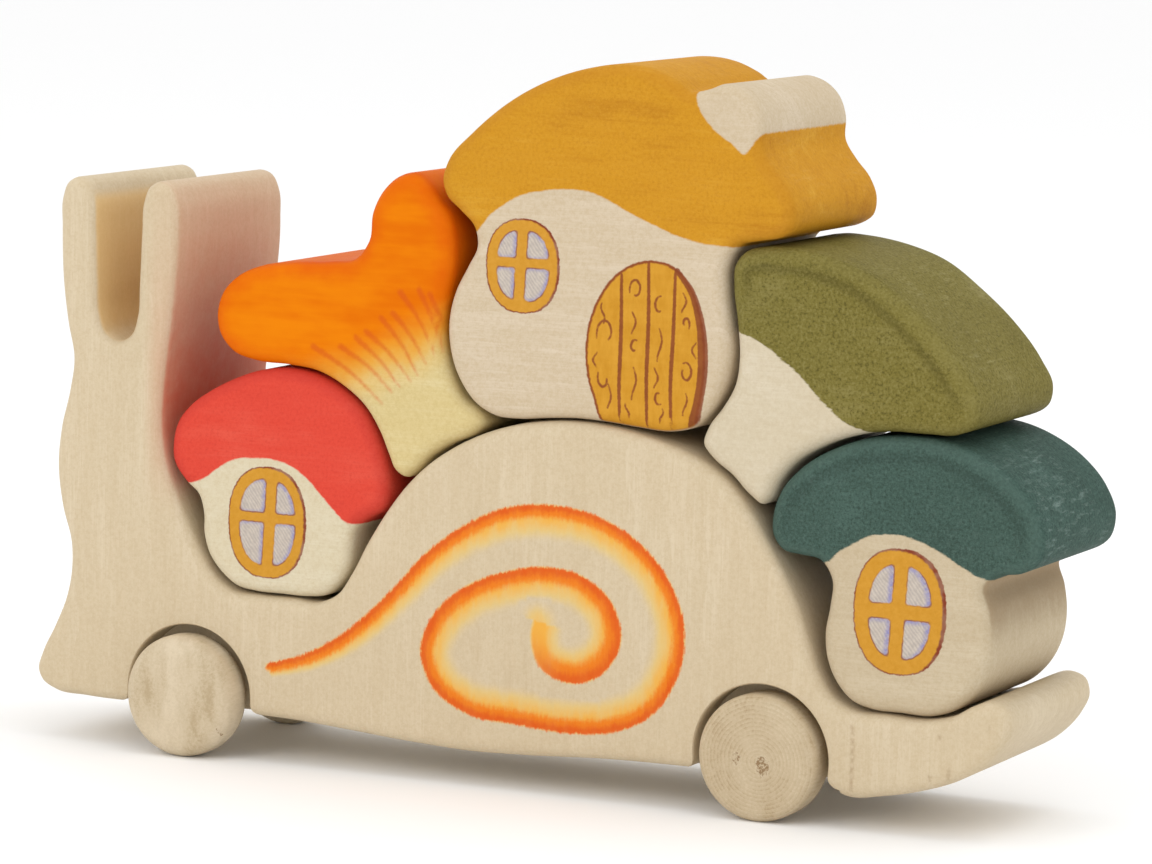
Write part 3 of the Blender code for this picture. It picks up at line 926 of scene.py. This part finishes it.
def mushroom_material(name, key, pith, seed, tints, window, door):
    p = Paint(name, (0.52, 0.68), 0.04)
    height, fine, streak = plain_wood(p, "X", pith, seed, tints)
    paler_rim_line(p, 0.2)
    if window:
        window_paint(p)
    if door:
        door_paint(p, streak)
    if key == "teal":
        # Painted shade on the teal base's sides, just beneath the cap's overhang
        under = p.add(p.field("cap"), p.times(p.noise(0.12, 2, 0.5), 5.0))
        p.over(srgb(150, 120, 84), p.ramp(under, -14, -1), p.ramp(p.field("face"), 0.95, 0.1), 0.62)
    specks = stained(p, key, fine, streak, seed)
    return p.finish(p.add(height, specks), fine, 0.3)


def door_paint(p, streak):
    """An ochre plank door with brown joints, scrolls and a thick shaded right edge."""
    face = p.field("face")
    wobble = p.wobble(0.6, 0.9, 2, 0.6)
    depth = p.add(p.field("door"), wobble)
    tone = p.add(p.times(p.noise(0.5, 4, 0.65, p.stretched("Z", 3)), 0.8), p.times(streak, 0.4))
    ochre = p.mix(p.ramp(tone, 0.3, 0.95), srgb(226, 166, 60), srgb(206, 144, 40))
    outline = p.ramp(depth, -0.35, 0.05)
    p.over(srgb(150, 82, 46), outline, face)
    p.over(ochre, p.ramp(depth, 0.25, 0.7), face)
    ink = p.add(p.field("ink"), p.wobble(0.35, 1.4, 2, 0.6))
    brown = p.mix(p.noise(0.6, 2, 0.6), srgb(158, 88, 52), srgb(128, 62, 38))
    p.over(brown, p.ramp(ink, -0.2, 0.14), face, 0.92)


def chanterelle_material():
    p = Paint("chanterelle_orange_stain", (0.44, 0.6), 0.04)
    height, fine, streak = plain_wood(p, "X", (30, -160, 60), 5, CHANTERELLE_WOOD)
    fade = p.add(p.field("fade"), p.wobble(7, 0.12, 4, 0.6))
    p.over(srgb(239, 182, 56), p.ramp(fade, -14, -1), 0.92)
    blotch = p.noise(0.1, 3, 0.6, p.stretched("X", 2.5))
    blotch = p.ramp(p.add(blotch, p.times(streak, 0.4)), 0.5, 0.95)
    orange = p.mix(blotch, srgb(247, 138, 4), srgb(236, 116, 0))
    p.over(orange, p.ramp(fade, -9.5, 4.5))
    rim = p.add(p.field("rim"), p.times(p.noise(0.16, 3, 0.6), 5.0))
    high = p.ramp(p.field("fade"), -3.0, 12)
    p.over(srgb(232, 96, 6), p.ramp(rim, 9, 2.5), high, 0.75)
    sides = p.times(p.math("SUBTRACT", 1.0, p.field("face")), high)
    p.over(srgb(218, 84, 8), sides, 0.5)
    gill = p.add(p.field("ink"), p.wobble(0.9, 0.9, 3, 0.7))
    p.over(srgb(216, 84, 30), p.ramp(gill, -0.5, 0.55), p.field("face"), 0.5)
    return p.finish(height, fine, 0.25)


def wheel_material(name, plan, middle, seed):
    """End grain: fine rings about the pith, ray flecks and a few small flaws."""
    p = Paint(name, (0.44, 0.6), 0.16)
    light, medium, dark = (srgb(*tone) for tone in plan["tones"])
    across, up = plan["pith"]
    where = p.vector("SUBTRACT", p.place, (middle + across, 0, up))
    ring = p.rings(where, "Y", plan["ring_gap"], 5.0, 0.25)
    ring = p.times(ring, p.ramp(p.noise(0.2, 3, 0.6), 0.3, 0.6, 0.25, 1))
    fine = p.noise(1.6, 4, 0.8, p.stretched("Y", 6, (seed, seed, 0)))
    soft = p.noise(0.16, 4, 0.55, p.stretched("Z", 3.2, (seed * 9.0, 0, 0)))
    ring_share, blotch_share = plan["rings"], plan["blotches"]
    tone = p.add(p.times(ring, ring_share), p.times(fine, 0.8), p.times(soft, blotch_share))
    mean = 0.35 * ring_share + 0.4 + 0.5 * blotch_share
    p.colour = p.mix(p.ramp(tone, mean - 0.3, mean + 0.05), light, medium)
    p.over(dark, p.ramp(tone, mean, mean + 0.34, 0, 0.8))
    flaw = 0.0
    for across, up, size in plan["flaws"]:
        gap = p.vector("SUBTRACT", p.place, (middle + across, 0, up))
        away = p.vector("LENGTH", p.vector("MULTIPLY", gap, (1, 0, 0.7)), output="Value")
        away = p.add(away, p.times(p.noise(1.2, 3, 0.7), 2.6))
        flaw = p.math("MAXIMUM", flaw, p.ramp(away, size + 1.5, size + 0.6))
    crumbled = p.ramp(p.noise(1.5, 3, 0.7), 0.42, 0.56, 0.12, 0.85)
    p.over(light, p.ramp(flaw, 0, 0.3, 0, 0.6))
    p.over(srgb(142, 110, 70), p.ramp(flaw, 0.3, 1), crumbled)
    height = p.add(p.times(ring, 0.35 * ring_share), p.times(fine, 0.5))
    return p.finish(p.math("SUBTRACT", height, p.times(flaw, 1.5)), fine, 0.3)


# ---- pieces


def dress(thing, material, body, slot, *nodes):
    """Gives a piece its material and puts it on its body, in place of its CAD nodes."""
    thing.data.materials.clear()
    thing.data.materials.append(material)
    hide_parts(*nodes)
    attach(thing, body)


def snail_cutters():
    """The axle bores, and on both faces the wheel pockets with their eased mouths."""
    ends = [(0, -BORE_REACH), (BORE_RADIUS, -BORE_REACH)]
    bore = [*ends, *((radius, -y) for radius, y in reversed(ends))]
    cutters = [turned(f"bore_{x}", bore, x, 0.0, BORE_SIDES) for x, _, _ in AXLES]
    for x, left_under, right_under in AXLES:
        loop = pocket_loop(x, left_under, right_under)
        for side in (-1, 1):
            mouth, floor = side * PLANK_HALF, side * (PLANK_HALF - POCKET_DEPTH)
            cutters.append(extruded_cutter(f"pocket_{x}_{side}", loop, mouth, floor, POCKET_FLARE))
    return cutters


def spiral_fields(places, line):
    """How far each place lies across the stroke, and how strong the stroke and its glow are."""
    far, side, share = nearest(places, line)
    width = np.interp(share, *zip(*SPIRAL_WIDTHS))
    across = width + side * far
    inner = 1 - between(0.0, 1.0, (across - 1.6 * width) / np.interp(share, *zip(*GLOW_REACH)))
    blunt_start = between(1.3, 0.6, far)
    glow = np.where(side > 0, inner, between(-0.4, 0.8, across))
    glow = np.where(share < 1, glow, 0.6 * between(6.5, 0.0, far))
    glow = np.where(share > 0, glow, blunt_start)
    near_stroke = between(4.6, 3.7, far) * between(1.0, 0.95, share)
    near_stroke = np.where(share > 0, near_stroke, blunt_start)
    return {"stroke": across, "stroke_width": width, "stroke_near": near_stroke, "glow": glow}


def horn_fields(places):
    """The painted reddish bounce light and shade on the right horn's side, and the painted warm
    light in the slot.
    """
    x, z = places.T
    # Where the painted reddish bounce light and shade falls on the right horn
    rosy = between(-14.5, -9.0, x) * between(4, -4, x) * between(56, 88, z)
    # Where the painted warm light inside the slot between the horns goes
    slot = between(-29.5, -28.5, x) * between(-15.0, -16.0, x)
    slot = slot * between(98, 106, z) * between(152, 140, z)
    return {"rosy": rosy * np.interp(z, *zip(*RED_BOUNCE_STRENGTH)), "slot": slot}


def make_snail():
    line = curve_through(SPIRAL, 1.0)

    def by_stroke(places):
        return nearest(places, line)[0] < SPIRAL_ZONE

    zones = [(*SPIRAL_BOX, STROKE_STEP, by_stroke)]
    snail = slab("snail_slab", SNAIL_OUTLINE, PLANK_HALF, SNAIL_RIM, zones, 1.0)
    cut_away(snail, snail_cutters())
    places = rim_fields(snail, SNAIL_OUTLINE, PLANK_HALF)
    marks = [(curve_through(mark, 1.0), (0.35, 0.35, 0.35)) for mark in MARKS]
    store(snail, ink=ink_field(places, marks), **spiral_fields(places, line), **horn_fields(places))
    dress(snail, snail_material(), "snail", "natural_wood", "snail_body")


def window_zone(window):
    """The finer mesh by a window."""
    centre, half = np.array(window[0]), np.array(window[1])
    return centre - half - 1.5, centre + half + 1.0, WINDOW_STEP, None


# Each mushroom: its key, CAD node, body, slot, outline, rim, cap's edge, pith and wood
MUSHROOMS = (
    (
        "red", "red_mushroom_house", "red_house", "red_stain",
        RED_HOUSE_OUTLINE, 3.2, RED_EDGE, (0, 120, 20), RED_BASE_WOOD,
    ),
    (
        "yellow", "yellow_mushroom_house", "yellow_house", "ochre_stain",
        YELLOW_HOUSE_OUTLINE, 3.3, YELLOW_EDGE, (0, 90, 190), WALL_WOOD,
    ),
    (
        "green", "green_mushroom", "green_cap", "olive_stain",
        GREEN_MUSHROOM_OUTLINE, 4.2, GREEN_EDGE, (0, 150, 60), GREEN_STEM_WOOD,
    ),
    (
        "teal", "teal_mushroom_house", "teal_house", "teal_stain",
        TEAL_HOUSE_OUTLINE, 3.8, TEAL_EDGE, (0, -120, 20), TEAL_BASE_WOOD,
    ),
)


def make_mushrooms():
    for seed, plan in enumerate(MUSHROOMS, 2):
        key, node, body, slot, outline, rim, edge, pith, tints = plan
        window, has_door = WINDOWS.get(key), key == "yellow"
        zones = [window_zone(window)] if window else []
        if has_door:
            zones.append((*DOOR_BOX, DOOR_STEP, None))
        piece = slab(f"{node}_painted", outline, MUSHROOM_HALF, rim, zones, float(seed))
        places = rim_fields(piece, outline, MUSHROOM_HALF)
        cap = cap_field(places, edge)
        if window:
            store(piece, **window_fields(places, window))
        if has_door:
            cap = np.minimum(cap, -depth_in(places, curve_through(CHIMNEY, 1.0, closed=True)))
            door = curve_through(DOOR, 1.5, closed=True) + FACE_SHIFT
            store(piece, door=depth_in(places, door), ink=ink_field(places, door_strokes()))
        store(piece, cap=cap)
        paint = mushroom_material(f"{node}_paint", key, pith, seed, tints, bool(window), has_door)
        dress(piece, paint, body, slot, node)


def make_chanterelle():
    zones = [(*GILL_BOX, GILL_STEP, None)]
    outline, rim = CHANTERELLE_OUTLINE, CHANTERELLE_RIM
    piece = slab("orange_chanterelle_painted", outline, MUSHROOM_HALF, rim, zones, 9.0)
    places = rim_fields(piece, outline, MUSHROOM_HALF)
    strokes = [(curve_through(line, 1.0) + FACE_SHIFT, (0.75, 0.5, 0.2)) for line in GILLS]
    store(piece, fade=cap_field(places, STEM_FADE), ink=ink_field(places, strokes))
    dress(piece, chanterelle_material(), "chanterelle", "orange_stain", "orange_chanterelle")


def wheel_profile(dome, edge):
    """(radius, y) from the outer face's middle to the blind glue hole, for a wheel facing -Y."""
    flat, back = WHEEL_RADIUS - edge, WHEEL_THICKNESS
    points = [(flat * share, dome * share**2) for share in (0, 0.2, 0.4, 0.6, 0.8, 1.0)]
    for a in np.radians((15, 30, 45, 60, 75, 90)):
        points.append((flat + edge * math.sin(a), dome + (edge - 0.3) * (1 - math.cos(a))))
    points += [(WHEEL_RADIUS, 6.4), (WHEEL_RADIUS, back - BACK_EDGE)]
    for a in np.radians((30, 60, 90)):
        inset, up = BACK_EDGE * (1 - math.cos(a)), BACK_EDGE * (1 - math.sin(a))
        points.append((WHEEL_RADIUS - inset, back - up))
    hole = AXLE_RADIUS + GLUE_GAP
    points += [(hole + 0.6, back), (hole, back - 0.5)]
    return points + [(hole, back - GLUE_HOLE_DEPTH), (0, back - GLUE_HOLE_DEPTH)]


# Each wheelset: the axle's x and shift; the dome and edge of a wheel; its seed; the pith from
# the wheel's middle and its height; the ring gap; the shares of rings and blotches; the three
# tones; and its flaws, as place from the middle, height and size
WHEELSETS = {
    "front": {
        "x": 0.0, "shift": -AXLE_END_PLAY, "cut": (0.7, 4.4), "seed": 3.0, "pith": (90, 40),
        "ring_gap": 5.0, "rings": 0.05, "blotches": 1.3,
        "tones": ((230, 213, 184), (217, 199, 168), (190, 168, 132)),
        "flaws": ((11.9, 7.4, 0.75),),
    },
    "rear": {
        "x": WHEELBASE, "shift": AXLE_END_PLAY, "cut": (0.35, 2.6), "seed": 7.0, "pith": (1, 14.5),
        "ring_gap": 0.95, "rings": 0.22, "blotches": 0.5,
        "tones": ((222, 204, 173), (208, 188, 155), (176, 150, 112)),
        "flaws": ((-4.6, 14.8, 1.2), (2.2, 13.6, 1.9)),
    },
}


def make_wheels():
    outer = PLANK_HALF + WHEEL_PROUD
    for axle, plan in WHEELSETS.items():
        x, shift = plan["x"], plan["shift"]
        middle = x - CENTRE_FROM_FRONT_AXLE
        for side, sign in (("near", -1), ("far", 1)):
            profile = [(radius, sign * (outer - y)) for radius, y in wheel_profile(*plan["cut"])]
            wheel = turned(f"{axle}_{side}_wheel_turned", profile, x, shift, WHEEL_SIDES)
            grain = wheel_material(f"{axle}_{side}_wheel_grain", plan, middle, plan["seed"] + sign)
            dress(wheel, grain, f"{axle}_wheelset", "wheel_end_grain", f"{axle}_{side}_wheel")
        reach, radius = outer - WHEEL_THICKNESS + GLUE_HOLE_DEPTH - GLUE_GAP, AXLE_RADIUS
        half = [(0, -reach), (radius - 0.5, -reach), (radius, 0.6 - reach), (radius, -reach / 2)]
        profile = [*half, (radius, 0), *((r, -y) for r, y in reversed(half))]
        dowel = turned(f"{axle}_axle_dowel", profile, x, shift, DOWEL_SIDES)
        p = Paint(f"{axle}_dowel_wood")
        height, fine, _ = plain_wood(p, "Y", (middle + 9, 0, 9), 4)
        paint = p.finish(height, fine, 0.3)
        dress(dowel, paint, f"{axle}_wheelset", "axle_dowel", f"{axle}_axle")


# ---- stage, light and camera


# Lengths here are in metres
FLOOR_HALF = 15.0
FLOOR_COLOUR = (0.97, 0.97, 0.97, 1)
# Each soft round light: its name, place, size, power and colour
LIGHTS = (
    ("key", (-0.5, -1.5, 0.9), 1.0, 5.5, (1.0, 0.98, 0.95)),
    ("overhead", (0.5, 0.1, 1.7), 1.2, 6.0, (0.95, 0.98, 1.0)),
)
LIT_PLACE = Vector((0, 0, 0.07))
CAMERA_PLACE = (0.54523, -1.11218, 0.24231)
CAMERA_YAW, CAMERA_PITCH, CAMERA_ROLL = (math.radians(a) for a in (26.0, 7.306, 1.177))
CAMERA_LENS = 162.12
CAMERA_SENSOR = 36.0


def plain_floor():
    bm = bmesh.new()
    bmesh.ops.create_grid(bm, x_segments=4, y_segments=4, size=FLOOR_HALF)
    mesh = bpy.data.meshes.new("studio_floor")
    bm.to_mesh(mesh)
    bm.free()
    material = bpy.data.materials.new("pale_paper")
    material.use_nodes = True
    shader = material.node_tree.nodes["Principled BSDF"]
    shader.inputs["Base Color"].default_value = FLOOR_COLOUR
    shader.inputs["Roughness"].default_value = 0.9
    mesh.materials.append(material)
    floor = linked("studio_floor", mesh)


def set_light():
    world = bpy.data.worlds.new("studio")
    bpy.context.scene.world = world
    world.use_nodes = True
    sky = world.node_tree.nodes["Background"]
    sky.inputs["Color"].default_value = (1.0, 1.0, 1.0, 1)
    sky.inputs["Strength"].default_value = 1.0
    for name, place, size, power, colour in LIGHTS:
        lamp = bpy.data.lights.new(name, "AREA")
        lamp.shape = "DISK"
        lamp.size, lamp.energy, lamp.color = size, power, colour
        thing = linked(name, lamp)
        thing.location = place
        thing.rotation_euler = (LIT_PLACE - Vector(place)).to_track_quat("-Z", "Y").to_euler()
    bpy.context.scene.view_settings.view_transform = "Standard"


def set_camera():
    yaw, pitch, roll = CAMERA_YAW, CAMERA_PITCH, CAMERA_ROLL
    right = Vector((math.cos(yaw), math.sin(yaw), 0))
    across, ahead = -math.sin(yaw) * math.sin(pitch), math.cos(yaw) * math.sin(pitch)
    up = Vector((across, ahead, math.cos(pitch)))
    rolled_right = math.cos(roll) * right + math.sin(roll) * up
    rolled_up = math.cos(roll) * up - math.sin(roll) * right
    matrix = Matrix((rolled_right, rolled_up, right.cross(up))).transposed().to_4x4()
    matrix.translation = CAMERA_PLACE
    data = bpy.data.cameras.new("camera")
    data.lens = CAMERA_LENS
    data.sensor_width = CAMERA_SENSOR
    camera = linked("camera", data)
    camera.matrix_world = matrix
    bpy.context.scene.camera = camera


for leftover in ("Cube", "Light", "Camera"):
    if leftover in bpy.data.objects:
        bpy.data.objects.remove(bpy.data.objects[leftover])

make_snail()
make_mushrooms()
make_chanterelle()
make_wheels()
plain_floor()
set_light()
set_camera()
